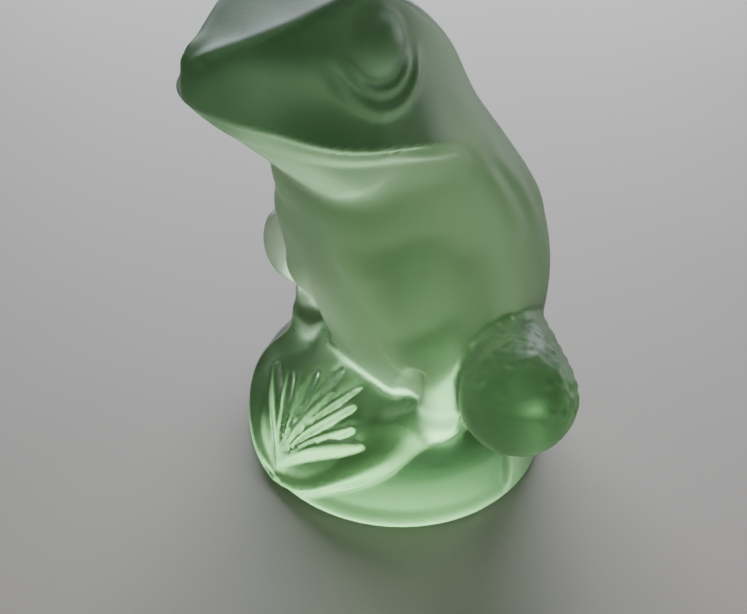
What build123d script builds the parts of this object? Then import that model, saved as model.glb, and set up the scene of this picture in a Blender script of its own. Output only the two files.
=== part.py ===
from build123d import *
import os
from math import atan2, cos, degrees, radians, sin

# A frog of solid moulded glass, seated upright on a round domed base that is
# one body with it. Millimetres, +Z up. The origin is the centre of the flat
# underside. The frog faces -Y and its left side is +X.

# Driving dimension: underside to the top of the brows.
HEIGHT = 90.0

# Everything below is drawn for a figure this tall, then scaled to HEIGHT.
DRAWN_HEIGHT = 88.9
SCALE = HEIGHT / DRAWN_HEIGHT
BASE_RADIUS = 27.0                   # rim of the base
BASE_HEIGHT = 15.5                   # underside to the top of the dome

# Base: a low rim, a rounded shoulder and a front that slopes down to the rim.
RIM_LAND = 1.0                       # small round above the underside
SHOULDER_RADIUS = 0.86 * BASE_RADIUS
SHOULDER_HEIGHT = 0.84 * BASE_HEIGHT
SLOPE_TOP = (-0.12 * BASE_RADIUS, BASE_HEIGHT)
SLOPE_FOOT = (-0.985 * BASE_RADIUS, RIM_LAND)
SIDE_HOLLOW_RADIUS = 22.0
SIDE_HOLLOW_DEPTH = 1.1
SIDE_HOLLOW_TURN = 28.0              # degrees forward of the frog's side
SIDE_HOLLOW_LEVEL = 0.42 * BASE_HEIGHT

# Leaves: slim blades that fan out over the front slope from one root.
LEAF_ROOT = (0.0, -0.965 * BASE_RADIUS)
# Each leaf: tip across, tip along, half the blade's width.
LEAVES = [(0.0, -13.6, 1.5), (5.7, -13.0, 1.4), (9.6, -16.0, 1.5), (13.8, -17.0, 1.5)]
LEAF_THICKNESS = 1.25                # half of the blade's thickness

# A round band runs from each forefoot along the shoulder to the leaf root, as
# (centre, radius) stops.
BAND = [
    ((17.5, -5.5, 14.0), 2.2),
    ((18.2, -12.0, 13.0), 1.8),
    ((16.0, -18.8, 9.2), 1.5),
    ((10.0, -23.6, 4.6), 1.2),
    ((2.0, -25.6, 1.8), 1.0),
]

# Torso: level oval sections, as (height, front, back, half width).
TORSO_SECTIONS = [
    (4.0, -2.0, 22.0, 12.0),
    (12.0, -6.6, 26.2, 15.3),
    (21.0, -9.3, 27.9, 17.4),
    (30.0, -11.8, 28.2, 18.2),
    (39.0, -14.2, 26.8, 18.0),
    (48.0, -16.6, 23.6, 16.8),
    (57.0, -18.4, 17.4, 15.4),
    (66.0, -17.0, 10.6, 13.4),
    (74.0, -11.0, 5.0, 11.0),
]

# How far out the corners of a section stand, as a share of its half sizes.
CHEST_FULLNESS = 0.81
BACK_FULLNESS = 0.75

# Upper jaw and skull: upright sections across the head, as
# (distance along Y, mouth height, mouth half width, brow height, brow half width).
SKULL_SECTIONS = [
    (-35.6, 76.0, 1.8, 81.6, 1.2),
    (-33.6, 75.4, 5.4, 83.0, 1.8),
    (-28.5, 74.2, 11.6, 84.3, 4.7),
    (-22.0, 71.6, 15.4, 86.7, 8.4),
    (-15.0, 69.9, 16.8, 88.9, 10.4),
    (-9.0, 68.4, 16.6, 87.0, 10.2),
    (-2.0, 65.8, 15.2, 82.0, 9.0),
    (4.0, 62.0, 12.4, 75.0, 7.6),
    (9.0, 57.0, 9.0, 66.0, 6.2),
]
CORNER_ROUNDING = 0.3                # of a section's brow half width

# Throat: oval sections that are widest just under the lip, as
# (distance along Y, height where it is widest, bottom height, half width).
THROAT_SECTIONS = [
    (-33.4, 74.8, 73.6, 3.6),
    (-31.0, 74.2, 71.4, 7.6),
    (-26.0, 72.4, 66.2, 12.0),
    (-20.0, 70.4, 60.0, 14.4),
    (-15.0, 69.2, 57.4, 15.4),
    (-8.0, 67.4, 57.0, 15.2),
    (0.0, 64.0, 57.0, 13.0),
]

# Limbs on the frog's left side, as (centre, radius) stops: shoulder, forearm,
# wrist and forefoot, then the flesh behind them and the hollow in front.
FORELEG = [
    ((9.6, -8.6, 46.0), 6.8),
    ((14.4, -6.8, 31.0), 4.3),
    ((17.6, -5.0, 21.0), 2.8),
    ((17.2, -5.0, 15.0), 3.3),
]
FLANK_WEB = [((10.5, -0.5, 34.0), 6.5), ((13.0, -0.5, 15.0), 5.4)]
LEG_POCKET = [((13.2, -8.6, 17.8), 2.7), ((17.0, -10.3, 28.0), 0.6)]
HIP = ((15.2, 12.4, 19.6), 8.6)
KNEE = ((28.1, 2.0, 24.5), 9.4)
KNEE_FACET = (33.5, -0.8, 31.6)      # middle of the dished facet on the knee
KNEE_FACET_DEPTH = 1.0
FACET_CUTTER = 30.0
KNEE_DIMPLE = ((34.3, 1.9, 31.9), 0.9)

# Eyes: low domes under the brows.
EYE_CENTRE = (10.3, -13.7, 81.8)
EYE_RADII = (4.4, 4.3, 4.4)


def ellipsoid(centre, radii):
    """An ellipsoid with its axes along X, Y and Z."""
    return Pos(*centre) * scale(Sphere(1.0), by=radii)


def ball(centre, radius):
    """A ball."""
    return Pos(*centre) * Sphere(radius)


def limb(start, start_radius, end, end_radius):
    """A ball at each end and a straight taper between them."""
    axis = Vector(*end) - Vector(*start)
    taper = Plane(origin=start, z_dir=axis) * Cone(
        start_radius, end_radius, axis.length, align=(Align.CENTER, Align.CENTER, Align.MIN)
    )
    return taper + ball(start, start_radius) + ball(end, end_radius)


def chain(stops):
    """A bent limb through several (centre, radius) stops."""
    result = limb(*stops[0], *stops[1])
    for stop, following in zip(stops[1:-1], stops[2:]):
        result = result + limb(*stop, *following)
    return result


def slope_height(y):
    """Height of the front slope at a distance along Y, on the middle line."""
    run = (y - SLOPE_FOOT[0]) / (SLOPE_TOP[0] - SLOPE_FOOT[0])
    rise = SLOPE_TOP[1] - SLOPE_FOOT[1]
    return SLOPE_FOOT[1] + rise * max(0.0, 1.0 - (1.0 - run) ** 2) ** 0.5


def base():
    """The domed base: a turned puck cut back by the curved front slope."""
    underside = Line((0, 0), (BASE_RADIUS - RIM_LAND, 0))
    rim = Line(underside @ 1, (BASE_RADIUS, RIM_LAND))
    side = Spline(
        rim @ 1,
        (SHOULDER_RADIUS, SHOULDER_HEIGHT),
        (0, BASE_HEIGHT),
        tangents=[(-0.06, 1), (-1, 0)],
    )
    axis_line = Line(side @ 1, underside @ 0)
    puck = revolve(Plane.XZ * make_face(Curve() + [underside, rim, side, axis_line]), Axis.Z)

    beyond = 2 * BASE_RADIUS
    slope = EllipticalCenterArc(
        (SLOPE_TOP[0], SLOPE_FOOT[1]),
        SLOPE_TOP[0] - SLOPE_FOOT[0],
        SLOPE_TOP[1] - SLOPE_FOOT[1],
        start_angle=90,
        arc_size=90,
    )
    outline = slope + Polyline(
        SLOPE_TOP, (SLOPE_TOP[0], beyond), (beyond, beyond), (beyond, 0), (SLOPE_FOOT[0], 0), SLOPE_FOOT
    )
    keep = extrude(Plane.YZ * make_face(outline), BASE_RADIUS * 1.2, both=True)
    return puck & keep


def side_hollow():
    """The shallow dish pressed into the side of the base, forward of the knee."""
    reach = BASE_RADIUS + SIDE_HOLLOW_RADIUS - SIDE_HOLLOW_DEPTH
    turn = radians(SIDE_HOLLOW_TURN)
    return Pos(reach * cos(turn), -reach * sin(turn), SIDE_HOLLOW_LEVEL) * Sphere(SIDE_HOLLOW_RADIUS)


def leaf(tip_across, tip_along, half_width):
    """One blade, half sunk in the front slope, from the root to its tip."""
    root = Vector(LEAF_ROOT[0], LEAF_ROOT[1], slope_height(LEAF_ROOT[1]))
    end = Vector(tip_across, tip_along, slope_height(tip_along))
    along = end - root
    blade = scale(Sphere(1.0), by=(0.5 * along.length, half_width, LEAF_THICKNESS))
    heading = degrees(atan2(along.Y, along.X))
    pitch = degrees(atan2(along.Z, (along.X ** 2 + along.Y ** 2) ** 0.5))
    sag = slope_height(0.5 * (root.Y + end.Y)) - 0.5 * (root.Z + end.Z)
    middle = (root + end) * 0.5 + Vector(0, 0, 0.6 * sag)
    return Pos(*middle) * Rot(0, 0, heading) * Rot(0, -pitch, 0) * blade


def band():
    """The round band from the forefoot along the shoulder of the base."""
    return chain(BAND)


def torso_outline(front, back, half_width):
    """A level section of the body: full at the chest and rounder at the back."""
    middle = 0.5 * (front + back)
    half_depth = 0.5 * (back - front)
    chest_x, chest_y = CHEST_FULLNESS * half_width, middle - CHEST_FULLNESS * half_depth
    back_x, back_y = BACK_FULLNESS * half_width, middle + BACK_FULLNESS * half_depth
    return make_face(
        Spline(
            (0, front),
            (chest_x, chest_y),
            (half_width, middle),
            (back_x, back_y),
            (0, back),
            (-back_x, back_y),
            (-half_width, middle),
            (-chest_x, chest_y),
            periodic=True,
        )
    )


def torso():
    """The body, from inside the base to inside the head."""
    sections = []
    for height, front, back, half_width in TORSO_SECTIONS:
        sections.append(Pos(0, 0, height) * torso_outline(front, back, half_width))
    return loft(sections)


def skull():
    """The upper jaw and the top of the head, with a flat brow and a lip."""
    sections = []
    for y, mouth, mouth_half, brow, brow_half in SKULL_SECTIONS:
        across = Plane(origin=(0, y, 0), x_dir=(1, 0, 0), z_dir=(0, -1, 0))
        corners = Polyline(
            (-mouth_half, mouth), (mouth_half, mouth), (brow_half, brow), (-brow_half, brow), close=True
        )
        outline = make_face(corners)
        outline = fillet(outline.vertices(), CORNER_ROUNDING * brow_half)
        sections.append(across * outline)
    return loft(sections)


def throat():
    """The lower jaw and the throat below the mouth."""
    sections = []
    for y, widest, bottom, half_width in THROAT_SECTIONS:
        section = Plane(origin=(0, y, widest), x_dir=(1, 0, 0), z_dir=(0, -1, 0)) * Ellipse(
            half_width, widest - bottom
        )
        sections.append(section)
    return loft(sections)


def foreleg():
    """The foreleg from the chest to the forefoot, and the flesh behind it."""
    return chain(FORELEG) + chain(FLANK_WEB)


def hind_leg():
    """The folded hind leg from the hip out to the knee."""
    centre, radius = KNEE
    outward = (Vector(*KNEE_FACET) - Vector(*centre)).normalized()
    cutter_centre = Vector(*centre) + outward * (radius + FACET_CUTTER - KNEE_FACET_DEPTH)
    return limb(*HIP, *KNEE) - ball(cutter_centre, FACET_CUTTER) - ball(*KNEE_DIMPLE)


def frog():
    """The whole figure: middle pieces first, then each left piece and its mirror."""
    figure = base() - side_hollow() - mirror(side_hollow(), Plane.YZ)
    figure = figure + torso() + skull() + throat() + leaf(*LEAVES[0])
    left_pieces = [foreleg(), hind_leg(), ellipsoid(EYE_CENTRE, EYE_RADII), band()]
    left_pieces += [leaf(*blade) for blade in LEAVES[1:]]
    for piece in left_pieces:
        figure = figure + piece + mirror(piece, Plane.YZ)
    pocket = chain(LEG_POCKET)
    return figure - pocket - mirror(pocket, Plane.YZ)


def main():
    os.makedirs("parts", exist_ok=True)
    glass_frog = scale(frog(), by=SCALE)
    export_step(glass_frog, "parts/glass_frog.step")


main()
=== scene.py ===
import math
import bpy
import numpy as np
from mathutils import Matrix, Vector


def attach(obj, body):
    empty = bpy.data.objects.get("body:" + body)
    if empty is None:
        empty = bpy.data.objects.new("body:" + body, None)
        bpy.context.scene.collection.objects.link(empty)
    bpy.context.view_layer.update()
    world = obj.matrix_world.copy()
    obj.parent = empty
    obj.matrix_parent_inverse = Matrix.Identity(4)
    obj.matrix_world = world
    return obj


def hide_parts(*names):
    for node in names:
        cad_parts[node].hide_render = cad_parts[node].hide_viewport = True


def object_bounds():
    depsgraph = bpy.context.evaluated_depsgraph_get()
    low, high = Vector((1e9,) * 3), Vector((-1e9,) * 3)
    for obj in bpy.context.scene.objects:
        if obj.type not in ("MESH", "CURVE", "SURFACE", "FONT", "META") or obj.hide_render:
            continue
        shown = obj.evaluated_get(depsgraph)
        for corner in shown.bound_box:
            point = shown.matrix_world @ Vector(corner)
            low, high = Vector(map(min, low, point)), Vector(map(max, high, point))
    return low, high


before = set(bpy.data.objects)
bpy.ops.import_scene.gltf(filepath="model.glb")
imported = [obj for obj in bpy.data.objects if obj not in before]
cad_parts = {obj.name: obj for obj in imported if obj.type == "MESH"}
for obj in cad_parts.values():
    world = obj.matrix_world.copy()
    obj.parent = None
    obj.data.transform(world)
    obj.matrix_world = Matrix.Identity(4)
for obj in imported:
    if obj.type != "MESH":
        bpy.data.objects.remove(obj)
cad_low, cad_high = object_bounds()

# A frog of solid moulded glass on a domed base, all one body. It is sculpted
# as a signed distance: each part of the frog is a function that gives the
# distance from a point to that part, and the parts are blended. Lengths in
# the sculpt are millimetres of a figure DRAWN_HEIGHT tall in the CAD frame:
# +Z up, the origin at the centre of the underside, facing -Y, left side +X.
# The figure is the same on both sides, so every part takes x as its distance
# from the middle plane. A name that ends in SLOPE is what turns an offset
# from a leaning surface into a distance.
DRAWN_HEIGHT = 88.9

# ---------------------------------------------------------------- sculpt tools
PROFILE_STEPS = 600     # how finely a profile is tabulated
NOISE_CELLS = 32        # along each side of the noise's block, which repeats
RIDGE_BEND = 0.2        # rounding of a ridge's bends, as a share of its width


def length(*parts):
    """Length of a vector given by its parts."""
    return np.sqrt(sum(part * part for part in parts))


def distance_from(p, point):
    """Distance to a single point."""
    return length(*[p[k] - point[k] for k in range(3)])


def join(a, b, width):
    """Union of two distances with a fillet about width wide."""
    share = np.clip(0.5 + 0.5 * (b - a) / width, 0, 1)
    return b + (a - b) * share - width * share * (1 - share)


def meet(a, b, width):
    """Intersection of two distances with an edge rounded over width."""
    return -join(-a, -b, width)


def fade(value, low, high):
    """0 below low, 1 above high and smooth between."""
    t = np.clip((value - low) / (high - low), 0, 1)
    return t * t * (3 - 2 * t)


def stretch(value, rise, fall):
    """1 between two places and 0 outside them, each given as the two ends of a fade."""
    return fade(value, *rise) * (1 - fade(value, *fall))


def bell(away, width):
    """1 at the middle, falling to nearly 0 at twice the width."""
    return np.exp(-((away / width) ** 2))


def ellipsoid(p, centre, radii):
    """Distance to an ellipsoid with its axes along X, Y and Z."""
    offset = [p[k] - centre[k] for k in range(3)]
    near = length(*[offset[k] / radii[k] for k in range(3)])
    steep = length(*[offset[k] / radii[k] ** 2 for k in range(3)])
    return near * (near - 1) / np.maximum(steep, 1e-9)


def limb(p, start, end, start_radius, end_radius):
    """Distance to a tapered limb with round ends."""
    axis = np.subtract(end, start)
    along = sum((p[k] - start[k]) * axis[k] for k in range(3)) / (axis @ axis)
    along = np.clip(along, 0, 1)
    away = length(*[p[k] - start[k] - along * axis[k] for k in range(3)])
    return away - (start_radius + (end_radius - start_radius) * along)


def chain(p, points, radii, width):
    """Distance to a bent limb through several points."""
    result = None
    for k in range(len(points) - 1):
        piece = limb(p, points[k], points[k + 1], radii[k], radii[k + 1])
        result = piece if result is None else join(result, piece, width)
    return result


def ridge(p, points, width):
    """1 along a line through several points, falling to 0 beyond width from it."""
    away = chain(p, points, [0.0] * len(points), RIDGE_BEND * width)
    return bell(np.maximum(away, 0), width)


def profile(stations, column):
    """A smooth function through the stations' first column and another one."""
    at = np.array([row[0] for row in stations], float)
    value = np.array([row[column] for row in stations], float)
    rise = np.diff(value) / np.diff(at)
    slope = np.concatenate(([rise[0]], 0.5 * (rise[:-1] + rise[1:]), [rise[-1]]))
    turning = np.concatenate(([False], rise[:-1] * rise[1:] <= 0, [False]))
    slope[turning] = 0
    fine = np.linspace(at[0], at[-1], PROFILE_STEPS)
    span = np.clip(np.searchsorted(at, fine, side="right") - 1, 0, len(at) - 2)
    step = at[span + 1] - at[span]
    t = (fine - at[span]) / step
    curve = (
        (1 + 2 * t) * (1 - t) ** 2 * value[span]
        + t * (1 - t) ** 2 * step * slope[span]
        + t * t * (3 - 2 * t) * value[span + 1]
        - t * t * (1 - t) * step * slope[span + 1]
    )
    return lambda where: np.interp(where, fine, curve)


def lattice_noise(p, size, seed):
    """Smooth repeatable noise from -1 to 1, with features about size across."""
    table = np.random.default_rng(seed).uniform(-1, 1, [NOISE_CELLS] * 3)
    result = 0
    place = [part / size for part in p]
    corner = [np.floor(part).astype(int) for part in place]
    share = [fade(place[k] - corner[k], 0, 1) for k in range(3)]
    for shift in np.ndindex(2, 2, 2):
        index = tuple((corner[k] + shift[k]) % NOISE_CELLS for k in range(3))
        weight = 1
        for k in range(3):
            weight = weight * (share[k] if shift[k] else 1 - share[k])
        result = result + weight * table[index]
    return result


# ---------------------------------------------------------------- the base
BASE_RADIUS = 27.0
BASE_HEIGHT = 15.7
BASE_SIDE_STRETCH = 1.03
BACK_SQUARENESS = 4.2
FRONT_SQUARENESS = 2.1
FRONT_FOCUS = 4         # how closely the front's long slope keeps to the front

LEAF_ROOT = (0.0, -26.6)
# Each leaf: tip across, tip along, half width at its widest.
LEAVES = [
    (0.0, -13.6, 1.1),
    (2.9, -9.6, 0.8),
    (5.7, -13.0, 1.05),
    (9.4, -16.2, 1.05),
    (13.4, -17.0, 1.05),
]
LEAF_RISE = 0.9
LEAF_EDGE = 0.02        # half width at the very tip
# Shares of the way from the root to a leaf's tip.
LEAF_TAPER = -0.15      # where its sides would meet, behind the root
LEAF_WIDEST = 0.68
LEAF_THICK = 0.7        # share of its widest half width where it reaches full height
# The valleys beside the leaves: how deep, how far beyond a leaf's edge, and
# the shares of the way along where they come and go.
BED_DEPTH = 0.6
BED_REACH = 1.0
BED_START = (0.02, 0.3)
BED_END = (0.9, 1.08)

# Round the base from the front, in degrees: the elevation of the band's lower
# edge, also in degrees seen from the origin, and how many degrees wide it is.
BAND = [
    (0, 1.5, 3),
    (15, 5, 6),
    (31, 15, 10),
    (47, 24, 17),
    (61, 33, 24),
    (75, 36, 28),
    (90, 36, 24),
    (105, 34, 12),
    (180, 34, 8),
]
BAND_EDGE, BAND_WIDTH = (profile(BAND, column) for column in (1, 2))
BAND_RISE = 1.0
# Shares of its width, up from its lower edge.
BAND_CREST = 0.35
BAND_TOP = 1.3          # where it has sunk back into the dome
BAND_BACK = (110, 150)  # degrees round where the band dies away

FACET_DEPTH = 0.9
# How strongly painted shade darkens the side facets.
FACET_PAINTED_SHADE = 0.9
FACET_EDGE = 3.0        # degrees below the band over which the facet sinks
FACET_BACK = (93, 97)   # degrees round where the facet ends
FACET_FOOT = (1.2, 4.0)     # heights over which it rises from the smooth rim
FACET_PAINTED_SHADE_TOP = 1.0   # height over the base where the facet's painted shade has gone
POLISH_FADE = 3.0       # height over the base where its polish has gone


def dome(p):
    """The plain base: boxy behind, sloping smoothly down to the rim in front."""
    across = p[0] / BASE_SIDE_STRETCH
    out = np.maximum(length(across, p[1]), 1e-6)
    forward = np.clip(-p[1] / out, 0, 1) ** FRONT_FOCUS
    power = BACK_SQUARENESS + (FRONT_SQUARENESS - BACK_SQUARENESS) * forward
    level = np.maximum(p[2], 0) / BASE_HEIGHT
    size = ((out / BASE_RADIUS) ** power + level ** power) ** (1 / power)
    return (1 - 1 / np.maximum(size, 1e-3)) * length(*p)


def leaf_place(p, tip):
    """Share of the way from the leaves' root to a tip, and the distance across."""
    axis = np.subtract(tip, LEAF_ROOT)
    reach = math.hypot(*axis)
    sideways, forward = p[0] - LEAF_ROOT[0], p[1] - LEAF_ROOT[1]
    along = (sideways * axis[0] + forward * axis[1]) / reach ** 2
    across = (sideways * axis[1] - forward * axis[0]) / reach
    return along, across


def leaf_half_width(along, widest):
    """A leaf's half width at a share of the way along it."""
    inside = np.clip(along, 0, 1)
    past_widest = np.maximum(inside - LEAF_WIDEST, 0) / (1 - LEAF_WIDEST)
    tip = np.sqrt(np.maximum(1 - past_widest ** 2, 0))
    return widest * fade(inside, LEAF_TAPER, LEAF_WIDEST) * tip + LEAF_EDGE


def leaf_relief(p):
    """Height of the fan of leaves above the dome, by place seen from above."""
    relief = 0
    bed = 0
    for tip_across, tip_along, widest in LEAVES:
        along, across = leaf_place(p, (tip_across, tip_along))
        half = leaf_half_width(along, widest)
        crown = np.sqrt(np.maximum(1 - (across / half) ** 2, 0))
        blade = crown * fade(half, 0, LEAF_THICK * widest) * min(1, widest)
        blade = np.where((along > 0) & (along < 1), blade, 0)
        relief = np.maximum(relief, (LEAF_RISE + BED_DEPTH) * blade)
        beside = bell(across, half + BED_REACH) * stretch(along, BED_START, BED_END)
        bed = np.maximum(bed, BED_DEPTH * beside)
    return relief - bed


def round_the_base(p):
    """The angle round from the front and the elevation from the origin, in degrees."""
    turn = np.degrees(np.arctan2(p[0], -p[1]))
    out = np.maximum(length(p[0], p[1]), 1e-6)
    return turn, np.degrees(np.arctan2(p[2], out))


def above_band(p):
    """Degrees of elevation above the lower edge of the band."""
    turn, lift = round_the_base(p)
    return lift - BAND_EDGE(turn)


def side_facet(p):
    """1 over the facet pressed into each side of the base, 0 off it."""
    turn, _ = round_the_base(p)
    below_band = fade(-above_band(p), 0, FACET_EDGE)
    return below_band * fade(p[2], *FACET_FOOT) * (1 - fade(turn, *FACET_BACK))


def band_relief(p):
    """The raised shoulder band, less the facet pressed into the side below it."""
    turn, _ = round_the_base(p)
    above = above_band(p) / BAND_WIDTH(turn)
    swell = np.sqrt(fade(above, 0, BAND_CREST)) * (1 - fade(above, BAND_CREST, BAND_TOP))
    band = BAND_RISE * swell * (1 - fade(turn, *BAND_BACK))
    return band - FACET_DEPTH * side_facet(p)


def base(p):
    """The whole base with its leaves, bands and side facets."""
    return dome(p) - leaf_relief(p) - band_relief(p)


def polish(p):
    """1 over the bright, smooth base and 0 over the satin frog."""
    return 1 - fade(p[2], BASE_HEIGHT, BASE_HEIGHT + POLISH_FADE)


# ---------------------------------------------------------------- the body
# Level oval sections: height, front, back, half width.
TORSO = [
    (4, -2, 22, 12),
    (12, -6.6, 26.2, 15.3),
    (21, -9.3, 27.9, 17.4),
    (30, -11.8, 28.2, 18.2),
    (39, -14.2, 26.8, 18.0),
    (48, -16.6, 23.6, 16.8),
    (57, -18.4, 17.4, 15.4),
    (66, -17.0, 10.6, 13.4),
    (74, -11.0, 5.0, 11.0),
    (80, -6.0, 0.0, 9.0),
]
TORSO_FRONT, TORSO_BACK, TORSO_HALF = (profile(TORSO, column) for column in (1, 2, 3))
FRONT_FULLNESS = 3.5
BACK_FULLNESS = 2.4
FULLNESS_CHANGE = (-8, 8)   # either side of a section's middle
TORSO_SLOPE = 0.85
TORSO_TOP = 77.0
TORSO_TOP_ROUNDING = 10.0
TORSO_BOTTOM_ROUNDING = 3.0

# Slack folds of skin that run down the back, each through three points.
BACK_FOLDS = [
    [(15.3, 3.4, 61.0), (15.6, 8.4, 51.5), (16.7, 11.3, 45.3)],
    [(13.6, 8.2, 59.4), (14.2, 13.2, 50.6), (15.0, 16.5, 44.1)],
    [(10.5, 12.4, 57.4), (11.5, 18.0, 48.5), (12.5, 21.0, 43.0)],
]
FOLD_WIDTH = 1.7
FOLD_RISE = 0.7
FOLD_BOTTOM = (42, 50)      # heights over which the folds come and go
FOLD_TOP = (54, 62)

# The foreleg from the shoulder to inside the base, with a radius at each point.
FORELEG = [(9.6, -8.6, 46.0), (14.4, -6.8, 31.0), (17.6, -5.0, 21.0), (16.8, -4.6, 10.0)]
FORELEG_RADII = [6.8, 4.3, 2.8, 4.2]
FORELEG_BEND = 3.0
# The web of glass that fills in between the foreleg and the belly.
ARMPIT = (10.5, -0.5, 34.0)
HOLLOW = (13.0, -0.5, 15.0)
ARMPIT_RADIUS = 6.5
HOLLOW_RADIUS = 5.4
WEB_BLEND = 1.0
HEEL = (18.4, -6.2, 16.4)
TOE = (13.2, -11.4, 13.6)
HEEL_RADIUS = 2.8
TOE_RADIUS = 2.3
POCKET_FOOT = (12.6, -9.6, 17.8)
POCKET_TOP = (17.0, -10.3, 28.0)
POCKET_FOOT_RADIUS = 3.7
POCKET_TOP_RADIUS = 1.4

HIP = (15.2, 12.4, 19.6)
HIP_RADIUS = 8.6
KNEE = (28.1, 2.0, 24.5)
KNEE_RADIUS = 9.4
KNEE_FACET = (33.5, -0.8, 31.6)
KNEE_FACET_DEPTH = 1.0
FACET_CUTTER = 30.0
KNEE_DIMPLE = (34.3, 1.9, 31.9)
DIMPLE_RADIUS = 0.9
KNEE_EDGE = 0.5             # rounding of the facet's and the dimple's edges
KNEE_FRONT = (0.3, -0.6, -1.0)      # which way the knee's smooth side looks
KNEE_FRONT_FADE = (-1, 4)
PEBBLE_RISE = 0.3
PEBBLE_SIZE = 1.1
PEBBLE_SEED = 7
PEBBLE_EDGE = (0.1, 0.6)    # how far off the facet the pebbles start


def torso(p):
    """The egg of the body, from inside the base to inside the head."""
    z = np.clip(p[2], TORSO[0][0], TORSO[-1][0])
    front, back, half = TORSO_FRONT(z), TORSO_BACK(z), TORSO_HALF(z)
    deep = 0.5 * (back - front)
    behind = p[1] - 0.5 * (front + back)
    power = FRONT_FULLNESS + (BACK_FULLNESS - FRONT_FULLNESS) * fade(behind, *FULLNESS_CHANGE)
    size = ((p[0] / half) ** power + np.abs(behind / deep) ** power) ** (1 / power)
    result = (size - 1) * np.minimum(half, deep) * TORSO_SLOPE
    folded = stretch(z, FOLD_BOTTOM, FOLD_TOP)
    for fold in BACK_FOLDS:
        result = result - FOLD_RISE * folded * ridge(p, fold, FOLD_WIDTH)
    result = meet(result, p[2] - TORSO_TOP, TORSO_TOP_ROUNDING)
    return meet(result, TORSO[0][0] - p[2], TORSO_BOTTOM_ROUNDING)


def foreleg(p):
    """The foreleg, from the chest down into the base."""
    leg = chain(p, FORELEG, FORELEG_RADII, FORELEG_BEND)
    web = limb(p, ARMPIT, HOLLOW, ARMPIT_RADIUS, HOLLOW_RADIUS)
    return join(leg, web, WEB_BLEND)


def forefoot(p):
    """The foot, turned forward and in under the pocket."""
    return limb(p, HEEL, TOE, HEEL_RADIUS, TOE_RADIUS)


def leg_pocket(p):
    """The teardrop hollow between the lower foreleg and the belly."""
    return limb(p, POCKET_FOOT, POCKET_TOP, POCKET_FOOT_RADIUS, POCKET_TOP_RADIUS)


def above_facet(p):
    """Distance outward from the dished facet on the knee."""
    outward = np.subtract(KNEE_FACET, KNEE)
    outward = outward / math.hypot(*outward)
    middle = KNEE + outward * (KNEE_RADIUS + FACET_CUTTER - KNEE_FACET_DEPTH)
    return FACET_CUTTER - distance_from(p, middle)


def knee_front(p):
    """0 over the knee's pebbled back and top, 1 over its smooth lower front."""
    lean = sum(KNEE_FRONT[k] * (p[k] - KNEE[k]) for k in range(3))
    return fade(lean, *KNEE_FRONT_FADE)


def hind_leg(p):
    """The folded hind leg, with a dished facet and a dimple on a pebbled knee."""
    result = limb(p, HIP, KNEE, HIP_RADIUS, KNEE_RADIUS)
    facet = above_facet(p)
    result = meet(result, facet, KNEE_EDGE)
    result = meet(result, DIMPLE_RADIUS - distance_from(p, KNEE_DIMPLE), KNEE_EDGE)
    pebbled = fade(-facet, *PEBBLE_EDGE) * (1 - knee_front(p))
    return result - PEBBLE_RISE * pebbled * lattice_noise(p, PEBBLE_SIZE, PEBBLE_SEED)


# ---------------------------------------------------------------- the head
# Along Y: lip height, lip half width, brow height, brow half width.
HEAD = [
    (-36.2, 75.6, 0.0, 83.2, 0.4),
    (-35.0, 75.5, 2.0, 83.2, 0.6),
    (-33.6, 75.4, 5.2, 83.2, 1.2),
    (-31.0, 75.0, 9.2, 83.6, 2.8),
    (-28.5, 74.2, 11.6, 84.3, 4.7),
    (-25.5, 72.9, 13.8, 85.4, 6.7),
    (-22.0, 71.6, 15.4, 86.7, 8.6),
    (-18.5, 70.6, 16.3, 88.1, 10.0),
    (-15.0, 69.9, 16.8, 89.15, 10.4),
    (-9.0, 68.4, 16.8, 87.0, 10.2),
    (-2.0, 65.8, 15.2, 82.0, 9.0),
    (4.0, 62.0, 12.6, 75.2, 7.8),
    (9.0, 57.0, 9.6, 66.0, 6.8),
    (14.0, 50.0, 6.0, 54.0, 5.0),
]
LIP_Z, LIP_HALF, BROW_Z, BROW_HALF = (profile(HEAD, column) for column in (1, 2, 3, 4))
# Up the nose on the middle line: how far forward it is.
NOSE = [
    (70.0, -32.5),
    (74.0, -34.6),
    (76.2, -35.5),
    (78.5, -35.9),
    (80.5, -35.3),
    (82.2, -33.9),
    (83.4, -32.0),
    (86.0, -26.0),
]
NOSE_FRONT = profile(NOSE, 1)
# Along Y: height of the bottom of the throat.
THROAT = [
    (-35.4, 75.4),
    (-31.0, 71.4),
    (-26.0, 66.2),
    (-22.0, 61.9),
    (-19.0, 58.9),
    (-15.0, 57.2),
    (-8.0, 57.6),
    (0.0, 58.5),
]
THROAT_Z = profile(THROAT, 1)

LEAST_CHEEK = 3.0           # height from lip to brow, where they draw together
CHEEK_LIMITS = (-0.2, 1.2)  # how far the cheek's lean goes on, in heights of the cheek
CHEEK_HOLLOW = 0.7
CHEEK_START = (-36, -30)    # along Y, where the cheek flattens and where it ends
CHEEK_END = (-8, 2)
CHEEK_SLOPE = 0.8
BROW_DISH = 0.8             # depth of the hollow between the brows
BROW_DISH_END = (-16, -6)
BROW_SLOPE = 0.85
BROW_ROUNDING = 1.6
LIP_DROP = 0.6              # how far the upper lip's edge hangs
LIP_SLOPE = 0.9
LIP_ROUNDING = 0.8
NOSE_SLOPE = 0.85
NOSE_ROUNDING = 2.4
SKULL_BACK = 11.0
SKULL_BACK_ROUNDING = 8.0

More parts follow.
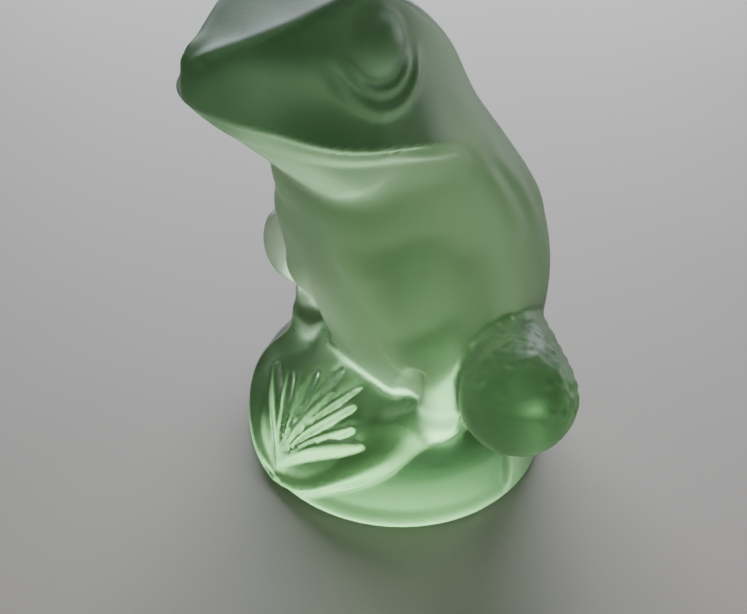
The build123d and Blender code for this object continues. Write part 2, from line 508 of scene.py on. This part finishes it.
JAW_INSET = 1.3
JAW_TUCK = 1.2              # how much further in the jaw sits in front
JAW_TUCK_END = (-14, -6)
JAW_SLOPE = 0.9
JAW_DROP = 1.4              # how far the jaw's middle is below the lip
JAW_RADIUS = 1.3
JAW_FRONT = 32.6
THROAT_INSET = 1.8
THROAT_DROP = 1.0           # how far the throat starts below the lip
THROAT_FULLNESS = 2.6
THROAT_SLOPE = 0.8
THROAT_FRONT = 33.4
THROAT_LID = 1.0            # height and rounding of its hidden top, in the skull
LEAST_THROAT = 0.5          # half width at the chin
LEAST_THROAT_DEPTH = 0.3
JAW_BACK = 2.0              # of the jaw and the throat
FRONT_ROUNDING = 2.0
BACK_ROUNDING = 4.0

NOSTRIL = (1.9, 81.6)       # across and up
NOSTRIL_RISE = 0.5
NOSTRIL_WIDTH = 1.2
NOSTRIL_PIT_WIDTH = 0.5
NOSTRIL_BACK = (-32, -28)
EYE = (10.3, -13.7, 81.8)
EYE_RADII = (4.4, 4.3, 4.4)
# Folds round the eye: distance from its centre, width and height.
LIDS = [(5.0, 0.75, 0.55), (7.1, 1.1, 0.7)]
LID_FRONT = (-95, -60)      # degrees round from straight below the eye
LID_BACK = (45, 85)
LID_INNER = (6, 9)          # distances from the middle plane
JAW_BLEND = 0.3
THROAT_BLEND = 0.8
EYE_BLEND = 1.4
FACE_PAINTED_SHADE_FOOT = (-0.6, 0.4)       # heights over the lip where the painted shade on the face starts
FACE_PAINTED_SHADE_BACK = (-9, 3)   # along Y, where it ends


def along_head(p):
    """Place along Y, held within the head's stations."""
    return np.clip(p[1], HEAD[0][0], HEAD[-1][0])


def eyelids(p):
    """Height of the two folds that curve under the eye."""
    out = length(p[1] - EYE[1], p[2] - EYE[2])
    turn = np.degrees(np.arctan2(p[1] - EYE[1], EYE[2] - p[2]))
    relief = sum(rise * bell(out - distance, width) for distance, width, rise in LIDS)
    return relief * stretch(turn, LID_FRONT, LID_BACK) * fade(p[0], *LID_INNER)


def nostril(p):
    """Height of the small raised nostril with a pit in it."""
    away = length(p[0] - NOSTRIL[0], p[2] - NOSTRIL[1])
    swelling = NOSTRIL_RISE * (bell(away, NOSTRIL_WIDTH) - bell(away, NOSTRIL_PIT_WIDTH))
    return swelling * (1 - fade(p[1], *NOSTRIL_BACK))


def skull(p):
    """The upper jaw and cranium, with flat cheeks and a sharp brow line."""
    y = along_head(p)
    lip_z, lip, brow_z, brow = LIP_Z(y), LIP_HALF(y), BROW_Z(y), BROW_HALF(y)
    rise = (p[2] - lip_z) / np.maximum(brow_z - lip_z, LEAST_CHEEK)
    rise = np.clip(rise, *CHEEK_LIMITS)
    hollow = CHEEK_HOLLOW * np.clip(4 * rise * (1 - rise), 0, 1)
    hollow = hollow * stretch(y, CHEEK_START, CHEEK_END)
    cheek = lip + (brow - lip) * rise - hollow
    result = (p[0] - cheek) * CHEEK_SLOPE - eyelids(p)
    between = 1 - np.clip(p[0] / np.maximum(brow, 1), 0, 1) ** 2
    dish = BROW_DISH * between * (1 - fade(y, *BROW_DISH_END))
    result = meet(result, (p[2] - brow_z + dish) * BROW_SLOPE, BROW_ROUNDING)
    result = meet(result, (lip_z - LIP_DROP - p[2]) * LIP_SLOPE, LIP_ROUNDING)
    result = meet(result, (NOSE_FRONT(p[2]) - p[1]) * NOSE_SLOPE, NOSE_ROUNDING)
    return meet(result - nostril(p), p[1] - SKULL_BACK, SKULL_BACK_ROUNDING)


def trim_jaw(p, part, front):
    """Rounds off the front and back ends of a part of the lower jaw."""
    return meet(meet(part, -p[1] - front, FRONT_ROUNDING), p[1] - JAW_BACK, BACK_ROUNDING)


def lower_jaw(p):
    """The rounded lip of the lower jaw, just inside the upper one."""
    y = along_head(p)
    edge = LIP_HALF(y) - JAW_INSET - JAW_TUCK * (1 - fade(y, *JAW_TUCK_END))
    outside = np.maximum(p[0] - edge, 0) * JAW_SLOPE
    slab = length(outside, p[2] - LIP_Z(y) + JAW_DROP) - JAW_RADIUS
    return trim_jaw(p, slab, JAW_FRONT)


def throat(p):
    """The throat sac below the jaw."""
    y = np.clip(p[1], THROAT[0][0], THROAT[-1][0])
    top = LIP_Z(y) - THROAT_DROP
    half = np.maximum(LIP_HALF(y) - THROAT_INSET, LEAST_THROAT)
    deep = np.maximum(top - THROAT_Z(y), LEAST_THROAT_DEPTH)
    down = np.maximum(top - p[2], 0) / deep
    size = ((p[0] / half) ** THROAT_FULLNESS + down ** THROAT_FULLNESS) ** (1 / THROAT_FULLNESS)
    result = (size - 1) * np.minimum(half, deep) * THROAT_SLOPE
    result = meet(result, p[2] - top - THROAT_LID, THROAT_LID)
    return trim_jaw(p, result, THROAT_FRONT)


def head(p):
    """The whole head."""
    result = join(skull(p), lower_jaw(p), JAW_BLEND)
    result = join(result, throat(p), THROAT_BLEND)
    return join(result, ellipsoid(p, EYE, EYE_RADII), EYE_BLEND)


def painted_shade(p):
    """Painted shade, 0 to 1, that darkens the glass colour where shadow falls: most over the
    upper head, less over the side facets.
    """
    over_lip = p[2] - LIP_Z(along_head(p))
    face = fade(over_lip, *FACE_PAINTED_SHADE_FOOT) * (1 - fade(p[1], *FACE_PAINTED_SHADE_BACK))
    low = 1 - fade(p[2], BASE_HEIGHT, BASE_HEIGHT + FACET_PAINTED_SHADE_TOP)
    return np.maximum(face, FACET_PAINTED_SHADE * low * side_facet(p))


# ---------------------------------------------------------------- the frog
# Widths of the fillets between the parts.
NECK_BLEND = 1.6
FORELEG_BLEND = 3.0
POCKET_BLEND = 0.9
FOREFOOT_BLEND = 2.4
HIND_LEG_BLEND = 2.0
BASE_BLEND = 2.8
EDGE_ROUNDING = 1.2     # of the edge round the underside


def frog(p):
    """Distance from points given as (x, y, z) to the surface of the whole figure."""
    q = (np.abs(p[0]), p[1], p[2])
    figure = join(torso(q), head(q), NECK_BLEND)
    figure = join(figure, foreleg(q), FORELEG_BLEND)
    figure = meet(figure, -leg_pocket(q), POCKET_BLEND)
    figure = join(figure, forefoot(q), FOREFOOT_BLEND)
    figure = join(figure, hind_leg(q), HIND_LEG_BLEND)
    figure = join(figure, base(q), BASE_BLEND)
    return meet(figure, -p[2], EDGE_ROUNDING)


# ---------------------------------------------------------------- the mesh
# The sculpt is sampled on a grid this fine, in drawn millimetres.
GRID = 0.5
# How far the grid reaches.
HALF_WIDTH = 40.0
FRONT = 39.0
BACK = 30.0
TOP = 91.5
LOWEST = -1.37          # clear of the underside, and not a whole number of steps from it
SETTLE_STEPS = 3
SLOPE_REACH = 0.02      # how far to either side the sculpt's slope is measured
GENTLEST = 0.5          # the least that slope is taken to be
LONGEST_MOVE = 0.5      # of a point at a time, in grid steps


def sample_figure():
    """The figure's distance on a grid: its lowest corner and the values."""
    across = (np.arange(int(HALF_WIDTH / GRID) + 1) + 0.5) * GRID
    along = np.arange(-FRONT, BACK, GRID)
    level = np.arange(LOWEST, TOP, GRID)
    value = np.empty((len(across), len(along), len(level)))
    for k, slice_across in enumerate(across):
        y, z = np.meshgrid(along, level, indexing="ij")
        value[k] = frog((np.full_like(y, slice_across), y, z))
    whole = np.concatenate((value[::-1], value))
    return np.array((-across[-1], along[0], level[0])), whole


def edge_ends(value, axis):
    """The values at the two ends of every grid edge along an axis."""
    low = [slice(None)] * 3
    high = [slice(None)] * 3
    low[axis] = slice(None, -1)
    high[axis] = slice(1, None)
    return value[tuple(low)], value[tuple(high)]


def cell_vertices(value):
    """One vertex in each cell that the surface crosses, and each cell's vertex number."""
    cells = tuple(n - 1 for n in value.shape)
    place = np.zeros(cells + (3,))
    count = np.zeros(cells)
    for axis in range(3):
        a, b = edge_ends(value, axis)
        crossed = (a < 0) != (b < 0)
        share = np.where(crossed, a / np.where(crossed, a - b, 1), 0)
        others = [k for k in range(3) if k != axis]
        for shift in np.ndindex(2, 2):
            window = [slice(None)] * 3
            for k, other in enumerate(others):
                window[other] = slice(shift[k], shift[k] + cells[other])
            here = crossed[tuple(window)]
            place[..., axis] += share[tuple(window)]
            for k, other in enumerate(others):
                place[..., other] += here * shift[k]
            count += here
    used = count > 0
    index = np.full(cells, -1)
    index[used] = np.arange(used.sum())
    return place[used] / count[used][:, None] + np.argwhere(used), index


def edge_quads(value, axis, index):
    """A quad round each grid edge along an axis that the surface crosses, facing out."""
    a, b = edge_ends(value, axis)
    crossed = (a < 0) != (b < 0)
    at = np.argwhere(crossed)
    first, second = (axis + 1) % 3, (axis + 2) % 3
    corners = []
    for back_first, back_second in ((1, 1), (0, 1), (0, 0), (1, 0)):
        cell = at.copy()
        cell[:, first] -= back_first
        cell[:, second] -= back_second
        corners.append(index[tuple(cell.T)])
    quads = np.stack(corners, 1)
    inwards = a[crossed] >= 0
    quads[inwards] = quads[inwards][:, ::-1]
    return quads


def surface_net(value):
    """The surface through the zeros of a grid of values, as vertices and quads."""
    vertices, index = cell_vertices(value)
    return vertices, np.concatenate([edge_quads(value, axis, index) for axis in range(3)])


def settle(points):
    """Moves the points straight onto the sculpt's surface."""
    for _ in range(SETTLE_STEPS):
        slope = np.empty_like(points)
        for axis in range(3):
            step = np.zeros(3)
            step[axis] = SLOPE_REACH
            ahead = frog(tuple((points + step).T))
            behind = frog(tuple((points - step).T))
            slope[:, axis] = (ahead - behind) / (2 * SLOPE_REACH)
        steep = np.maximum((slope ** 2).sum(1), GENTLEST ** 2)
        move = -(frog(tuple(points.T)) / steep)[:, None] * slope
        far = np.maximum(np.linalg.norm(move, axis=1), 1e-9)
        points = points + move * np.minimum(1, LONGEST_MOVE * GRID / far)[:, None]
    points[:, 2] = np.maximum(points[:, 2], 0)
    return points


def make_frog(scale):
    """The glass figure as one smooth closed mesh."""
    corner, value = sample_figure()
    vertices, quads = surface_net(value)
    points = settle(corner + GRID * vertices)
    mesh = bpy.data.meshes.new("glass_figure")
    mesh.from_pydata((points * scale).tolist(), [], quads.tolist())
    place = (np.abs(points[:, 0]), points[:, 1], points[:, 2])
    # Besides the real polish, the points carry painted shade for the upper head and the side
    # facets.
    for name, finish in (("polish", polish), ("painted_shade", painted_shade)):
        mesh.attributes.new(name, "FLOAT", "POINT").data.foreach_set("value", finish(place))
    mesh.polygons.foreach_set("use_smooth", np.ones(len(quads), bool))
    mesh.update()
    figure = bpy.data.objects.new("glass_figure", mesh)
    bpy.context.scene.collection.objects.link(figure)
    return figure


# ---------------------------------------------------------------- materials
# Each noise has a scale and a detail. The scale counts features to the metre
# on the glass, and across the whole of the floor.
GLASS_TINT = (0.82, 0.92, 0.76, 1)
# Painted shade: the dark green that the glass colour turns to over the upper head and the side
# facets, standing in for shadow there.
PAINTED_SHADE_TINT = (0.13, 0.20, 0.14, 1)
GLASS_IOR = 1.5
SATIN_ROUGHNESS = (0.42, 0.52)
SATIN_PATCHES = (90, 3)
BASE_ROUGHNESS = 0.22
GRAIN = (3500, 2)
GRAIN_STRENGTH = 0.25
GRAIN_DEPTH = 0.0001
DEEP_GREEN = (0.30, 0.70, 0.20, 1)
GREEN_DENSITY = 28

FLOOR_TINTS = ((0.42, 0.365, 0.335, 1), (0.46, 0.40, 0.37, 1))
FLOOR_ROUGHNESS = 0.6
FLOOR_MOTTLE = (60, 2)


def new_material(name):
    """A material, its node tree and its main shader."""
    material = bpy.data.materials.new(name)
    material.use_nodes = True
    return material, material.node_tree, material.node_tree.nodes["Principled BSDF"]


def noise(tree, space, scale, detail):
    """Noise from 0 to 1, of a given scale in one of the texture spaces."""
    node = tree.nodes.new("ShaderNodeTexNoise")
    node.inputs["Scale"].default_value = scale
    node.inputs["Detail"].default_value = detail
    place = tree.nodes.new("ShaderNodeTexCoord")
    tree.links.new(place.outputs[space], node.inputs["Vector"])
    return node.outputs["Fac"]


def vertex_value(tree, name):
    """One of the values stored on the figure's points."""
    node = tree.nodes.new("ShaderNodeAttribute")
    node.attribute_name = name
    return node.outputs["Fac"]


def tint_between(tree, colours, factor, shader):
    """Colours a shader between two colours."""
    node = tree.nodes.new("ShaderNodeMix")
    node.data_type = "RGBA"
    node.inputs["A"].default_value, node.inputs["B"].default_value = colours
    tree.links.new(factor, node.inputs["Factor"])
    tree.links.new(node.outputs["Result"], shader.inputs["Base Color"])


def fine_grain(tree, shader):
    """A fine satin grain."""
    bump = tree.nodes.new("ShaderNodeBump")
    bump.inputs["Strength"].default_value = GRAIN_STRENGTH
    bump.inputs["Distance"].default_value = GRAIN_DEPTH
    tree.links.new(noise(tree, "Object", *GRAIN), bump.inputs["Height"])
    tree.links.new(bump.outputs["Normal"], shader.inputs["Normal"])


def satin_and_polish(tree, shader):
    """Patchy satin over the frog and a smoother finish over the base."""
    satin = tree.nodes.new("ShaderNodeMapRange")
    satin.inputs["To Min"].default_value, satin.inputs["To Max"].default_value = SATIN_ROUGHNESS
    tree.links.new(noise(tree, "Object", *SATIN_PATCHES), satin.inputs["Value"])
    finish = tree.nodes.new("ShaderNodeMix")
    finish.inputs["B"].default_value = BASE_ROUGHNESS
    tree.links.new(vertex_value(tree, "polish"), finish.inputs["Factor"])
    tree.links.new(satin.outputs["Result"], finish.inputs["A"])
    tree.links.new(finish.outputs["Result"], shader.inputs["Roughness"])


def glass():
    """Solid green glass, satin on the frog and smoother on the base, with painted shade
    darkening its colour over the upper head and the side facets.
    """
    material, tree, shader = new_material("frosted_green_glass")
    shader.inputs["Transmission Weight"].default_value = 1.0
    shader.inputs["IOR"].default_value = GLASS_IOR
    fine_grain(tree, shader)
    # Painted shade darkens the glass colour over the upper head and the side facets.
    tint_between(tree, (GLASS_TINT, PAINTED_SHADE_TINT), vertex_value(tree, "painted_shade"), shader)
    satin_and_polish(tree, shader)
    depth = tree.nodes.new("ShaderNodeVolumeAbsorption")
    depth.inputs["Color"].default_value = DEEP_GREEN
    depth.inputs["Density"].default_value = GREEN_DENSITY
    tree.links.new(depth.outputs["Volume"], tree.nodes["Material Output"].inputs["Volume"])
    return material


def floor_finish():
    """Plain pale matt board."""
    material, tree, shader = new_material("pale_floor")
    shader.inputs["Roughness"].default_value = FLOOR_ROUGHNESS
    tint_between(tree, FLOOR_TINTS, noise(tree, "Generated", *FLOOR_MOTTLE), shader)
    return material


# ---------------------------------------------------------------- the scene
# In metres, as the CAD frame is.
FLOOR_SIDE = 3.0
FLOOR_GAP = 0.0003      # air under the base, so that light gets in
WORLD_COLOUR = (0.80, 0.88, 1.0, 1)
WORLD_STRENGTH = 0.04
# Each light: name, place, side, power, colour.
LIGHTS = [
    ("window", (-0.76, 0.60, 0.50), 1.05, 25.5, (0.86, 0.94, 1.0)),
    ("rim", (0.10, 0.55, 0.12), 0.3, 1.0, (0.95, 1.0, 1.0)),
    ("fill", (0.35, -0.05, 0.90), 0.7, 1.0, (0.93, 0.97, 1.0)),
]
# In drawn millimetres, so that the view scales with the figure.
CAMERA_PLACE = (104.4, -86.9, 134.4)
CAMERA_TARGET = (-28.1, 17.0, 0.0)
LENS = 48.2
SENSOR = 36
NEAREST_SEEN = 0.01


def make_floor(side):
    """The floor that the figure stands on."""
    half = 0.5 * side
    square = ((-half, -half), (half, -half), (half, half), (-half, half))
    corners = [(x, y, -FLOOR_GAP) for x, y in square]
    mesh = bpy.data.meshes.new("floor")
    mesh.from_pydata(corners, [], [(0, 1, 2, 3)])
    floor = bpy.data.objects.new("floor", mesh)
    mesh.materials.append(floor_finish())
    bpy.context.scene.collection.objects.link(floor)
    return floor


def aim(thing, place, target):
    """Puts a light or a camera in place, pointing at a target."""
    thing.location = place
    thing.rotation_euler = (Vector(target) - Vector(place)).to_track_quat("-Z", "Y").to_euler()
    bpy.context.scene.collection.objects.link(thing)


def soft_light(name, place, target, side, power, colour):
    """A square soft light that faces a target."""
    light = bpy.data.lights.new(name, "AREA")
    light.shape = "SQUARE"
    light.size = side
    light.energy = power
    light.color = colour
    aim(bpy.data.objects.new(name, light), place, target)


def make_world():
    """Even soft light from all round."""
    world = bpy.data.worlds.new("studio")
    world.use_nodes = True
    background = world.node_tree.nodes["Background"]
    background.inputs["Color"].default_value = WORLD_COLOUR
    background.inputs["Strength"].default_value = WORLD_STRENGTH
    bpy.context.scene.world = world


def make_camera(scale):
    """The camera, above and in front of the frog's left side."""
    camera = bpy.data.cameras.new("camera")
    camera.sensor_width = SENSOR
    camera.lens = LENS
    camera.clip_start = NEAREST_SEEN
    holder = bpy.data.objects.new("camera", camera)
    aim(holder, Vector(CAMERA_PLACE) * scale, Vector(CAMERA_TARGET) * scale)
    bpy.context.scene.camera = holder


scale = (cad_high.z - cad_low.z) / DRAWN_HEIGHT
make_camera(scale)
make_world()
middle = (0, 0, 0.5 * cad_high.z)
for name, place, side, power, colour in LIGHTS:
    soft_light(name, place, middle, side, power, colour)

make_floor(FLOOR_SIDE)
figure = make_frog(scale)
figure.data.materials.append(glass())
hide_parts("glass_frog")
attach(figure, "root")
